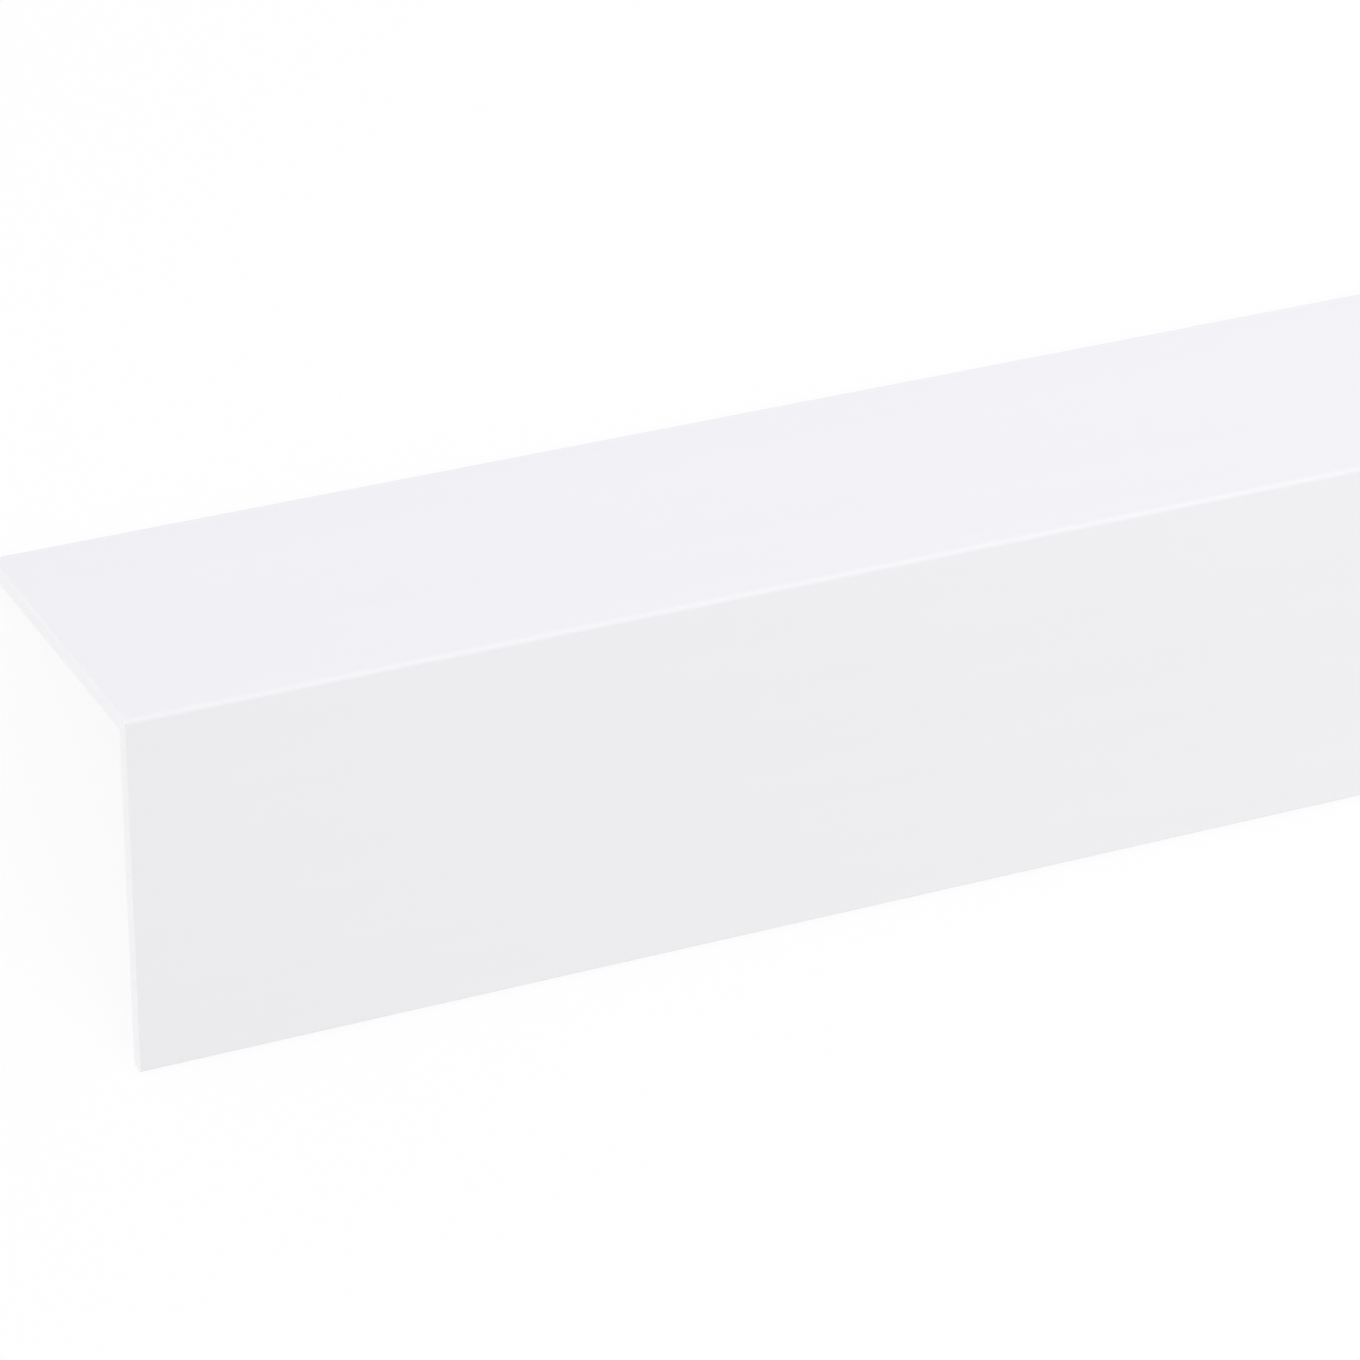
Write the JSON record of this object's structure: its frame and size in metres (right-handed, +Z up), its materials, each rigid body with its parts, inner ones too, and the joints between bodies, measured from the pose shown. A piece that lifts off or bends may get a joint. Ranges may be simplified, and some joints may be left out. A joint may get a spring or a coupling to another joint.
{
  "type": "pvc angle profile",
  "caption": "Straight white plastic angle profile with equal legs at a right angle, slightly rounded edges and square sawn ends, for covering and protecting corners and edges.",
  "frame": {"origin": "on the floor at mid-length, straight below the outside corner of the angle", "axes": "+X along the length, +Z up through the outside corner, the front leg on the -Y side and the back leg on the +Y side"},
  "size_m": [1, 0.0704, 0.0365],
  "materials": {
    "white_pvc": "smooth extruded white PVC with a satin sheen, sawn matte at the ends"
  },
  "bodies": {
    "root": {"angle_profile": "white_pvc"}
  },
  "joints": []
}
